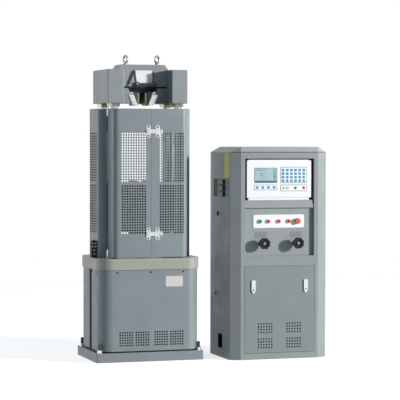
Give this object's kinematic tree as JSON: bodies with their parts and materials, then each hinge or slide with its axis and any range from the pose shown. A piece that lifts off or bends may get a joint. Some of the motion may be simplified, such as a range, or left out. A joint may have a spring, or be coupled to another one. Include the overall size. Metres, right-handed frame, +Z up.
{
  "type": "universal testing machine",
  "caption": "Hydraulic universal testing machine: column load frame with wedge grips, guarded test space and lifting table, beside a control and oil-source console.",
  "frame": {"origin": "centre of the load frame's base plate, on its underside, on the load axis", "axes": "+Z up along the load axis, -Y towards the operator at the guard doors, +X towards the console"},
  "size_m": [1.568, 0.693, 2.0285],
  "materials": {
    "grey_paint": "satin paint",
    "table_paint": "satin paint",
    "console_paint": "fine textured paint",
    "polished_steel": "ground and polished",
    "machined_steel": "machined",
    "zinc_steel": "yellow zinc",
    "stainless": "satin stainless",
    "bronze": "machined",
    "black_plastic": "matt",
    "white_panel": "semi-gloss",
    "green_plastic": "gloss",
    "red_plastic": "gloss",
    "motor_paint": "satin paint"
  },
  "bodies": {
    "frame_base": {"base_plate": "grey_paint", "levelling_screws": "machined_steel", "hydraulic_cylinder": "machined_steel", "base_front_cover": "grey_paint", "base_rear_cover": "grey_paint", "gear_motors": "motor_paint", "console_cabinet": "console_paint", "console_lid": "console_paint", "control_panel": "console_paint", "display_unit": "white_panel", "button_plate": "white_panel", "button_bezels": "black_plastic", "throttle_valves": "machined_steel", "oil_tank": "motor_paint", "pump_motor": "motor_paint", "side_sockets": "stainless"},
    "lifting_frame": {"ram": "polished_steel", "worktable": "table_paint", "lower_platen": "machined_steel", "columns": "polished_steel", "column_nuts": "zinc_steel", "upper_crosshead": "grey_paint", "eyebolts": "polished_steel", "jaw_cover_plate": "grey_paint", "guard_side_left": "grey_paint", "guard_side_right": "grey_paint", "hinge_pins": "stainless", "button_box": "black_plastic"},
    "left_screw": {"lead_screw_left": "machined_steel"},
    "right_screw": {"lead_screw_right": "machined_steel"},
    "moving_crosshead": {"lower_crosshead": "grey_paint", "screw_nuts": "bronze", "upper_platen": "machined_steel"},
    "upper_left_jaw": {"upper_jaw_left": "machined_steel", "upper_insert_left": "machined_steel"},
    "upper_right_jaw": {"upper_jaw_right": "machined_steel", "upper_insert_right": "machined_steel"},
    "upper_lever": {"upper_jaw_lever": "machined_steel"},
    "lower_left_jaw": {"lower_jaw_left": "machined_steel", "lower_insert_left": "machined_steel"},
    "lower_right_jaw": {"lower_jaw_right": "machined_steel", "lower_insert_right": "machined_steel"},
    "lower_lever": {"lower_jaw_lever": "machined_steel"},
    "left_door": {"guard_door_left": "grey_paint", "latch_catches": "stainless"},
    "right_door": {"guard_door_right": "grey_paint", "latch_bases": "stainless"},
    "upper_latch": {"latch_lever_upper": "stainless"},
    "lower_latch": {"latch_lever_lower": "stainless"},
    "hatch": {"console_hatch": "console_paint"},
    "left_lock": {"lock_handle_left": "stainless"},
    "right_lock": {"lock_handle_right": "stainless"},
    "left_wheel": {"handwheel_left": "black_plastic"},
    "right_wheel": {"handwheel_right": "black_plastic"},
    "button_start_cap": {"button_start": "green_plastic"},
    "button_stop_cap": {"button_stop": "red_plastic"},
    "button_lamp_cap": {"button_lamp": "red_plastic"},
    "button_reset_cap": {"button_reset": "red_plastic"},
    "emergency_stop_cap": {"emergency_stop": "red_plastic"}
  },
  "joints": [
    {"name": "table_lift", "type": "slide", "parent": "frame_base", "child": "lifting_frame", "axis": [0, 0, 1], "range_m": [0, 0.12]},
    {"name": "crosshead_travel", "type": "slide", "parent": "frame_base", "child": "moving_crosshead", "axis": [0, 0, 1], "range_m": [0, 0.45]},
    {"name": "left_screw_turn", "type": "hinge", "parent": "frame_base", "child": "left_screw", "pos_m": [-0.262, 0.008, 0.5], "axis": [0, 0, 1], "continuous": true},
    {"name": "right_screw_turn", "type": "hinge", "parent": "frame_base", "child": "right_screw", "pos_m": [0.262, 0.008, 0.5], "axis": [0, 0, 1], "continuous": true},
    {"name": "upper_left_jaw_slide", "type": "slide", "parent": "lifting_frame", "child": "upper_left_jaw", "axis": [-0.3746, 0, 0.9272], "range_m": [0, 0.03]},
    {"name": "upper_right_jaw_slide", "type": "slide", "parent": "lifting_frame", "child": "upper_right_jaw", "axis": [0.3746, 0, 0.9272], "range_m": [0, 0.03]},
    {"name": "upper_lever_turn", "type": "hinge", "parent": "lifting_frame", "child": "upper_lever", "pos_m": [-0.045, -0.095, 1.834], "axis": [0, -1, 0], "range_deg": [0, 20]},
    {"name": "lower_left_jaw_slide", "type": "slide", "parent": "moving_crosshead", "child": "lower_left_jaw", "axis": [0.3746, 0, 0.9272], "range_m": [0, 0.016]},
    {"name": "lower_right_jaw_slide", "type": "slide", "parent": "moving_crosshead", "child": "lower_right_jaw", "axis": [-0.3746, 0, 0.9272], "range_m": [0, 0.016]},
    {"name": "lower_lever_turn", "type": "hinge", "parent": "moving_crosshead", "child": "lower_lever", "pos_m": [-0.045, -0.103, 1.037], "axis": [0, -1, 0], "range_deg": [0, 20]},
    {"name": "left_door_swing", "type": "hinge", "parent": "lifting_frame", "child": "left_door", "pos_m": [-0.25675, -0.119, 1.177], "axis": [0, 0, -1], "range_deg": [0, 90]},
    {"name": "right_door_swing", "type": "hinge", "parent": "lifting_frame", "child": "right_door", "pos_m": [0.25675, -0.119, 1.177], "axis": [0, 0, 1], "range_deg": [0, 90]},
    {"name": "upper_latch_turn", "type": "hinge", "parent": "right_door", "child": "upper_latch", "pos_m": [0.052, -0.272, 1.517], "axis": [0, 0, 1], "range_deg": [0, 100]},
    {"name": "lower_latch_turn", "type": "hinge", "parent": "right_door", "child": "lower_latch", "pos_m": [0.052, -0.272, 0.843], "axis": [0, 0, 1], "range_deg": [0, 100]},
    {"name": "hatch_lift_off", "type": "slide", "parent": "frame_base", "child": "hatch", "axis": [0, -1, 0], "range_m": [0, 0.3]},
    {"name": "left_lock_turn", "type": "hinge", "parent": "hatch", "child": "left_lock", "pos_m": [0.675, -0.383, 0.527], "axis": [-1, 0, 0], "range_deg": [0, 60]},
    {"name": "right_lock_turn", "type": "hinge", "parent": "hatch", "child": "right_lock", "pos_m": [1.047, -0.383, 0.527], "axis": [-1, 0, 0], "range_deg": [0, 60]},
    {"name": "left_valve_turn", "type": "hinge", "parent": "frame_base", "child": "left_wheel", "pos_m": [0.741, -0.4, 0.775], "axis": [0, 1, 0], "continuous": true},
    {"name": "right_valve_turn", "type": "hinge", "parent": "frame_base", "child": "right_wheel", "pos_m": [0.981, -0.4, 0.775], "axis": [0, 1, 0], "continuous": true},
    {"name": "button_start_press", "type": "slide", "parent": "frame_base", "child": "button_start_cap", "axis": [0, 1, 0], "range_m": [0, 0.004], "stiffness_N_per_m": 600, "springref_m": -0.001},
    {"name": "button_stop_press", "type": "slide", "parent": "frame_base", "child": "button_stop_cap", "axis": [0, 1, 0], "range_m": [0, 0.004], "stiffness_N_per_m": 600, "springref_m": -0.001},
    {"name": "button_lamp_press", "type": "slide", "parent": "frame_base", "child": "button_lamp_cap", "axis": [0, 1, 0], "range_m": [0, 0.004], "stiffness_N_per_m": 600, "springref_m": -0.001},
    {"name": "button_reset_press", "type": "slide", "parent": "frame_base", "child": "button_reset_cap", "axis": [0, 1, 0], "range_m": [0, 0.004], "stiffness_N_per_m": 600, "springref_m": -0.001},
    {"name": "emergency_stop_press", "type": "slide", "parent": "frame_base", "child": "emergency_stop_cap", "axis": [0, 1, 0], "range_m": [0, 0.004], "stiffness_N_per_m": 600, "springref_m": -0.001}
  ],
  "couplings": [
    {"joint": "left_screw_turn", "follows": "crosshead_travel", "rad_per_m": 523.6},
    {"joint": "right_screw_turn", "follows": "crosshead_travel", "rad_per_m": 523.6},
    {"joint": "upper_right_jaw_slide", "follows": "upper_left_jaw_slide", "ratio": 1},
    {"joint": "upper_lever_turn", "follows": "upper_left_jaw_slide", "rad_per_m": 10},
    {"joint": "lower_right_jaw_slide", "follows": "lower_left_jaw_slide", "ratio": 1},
    {"joint": "lower_lever_turn", "follows": "lower_left_jaw_slide", "rad_per_m": 15},
    {"joint": "right_door_swing", "follows": "left_door_swing", "ratio": 1}
  ]
}
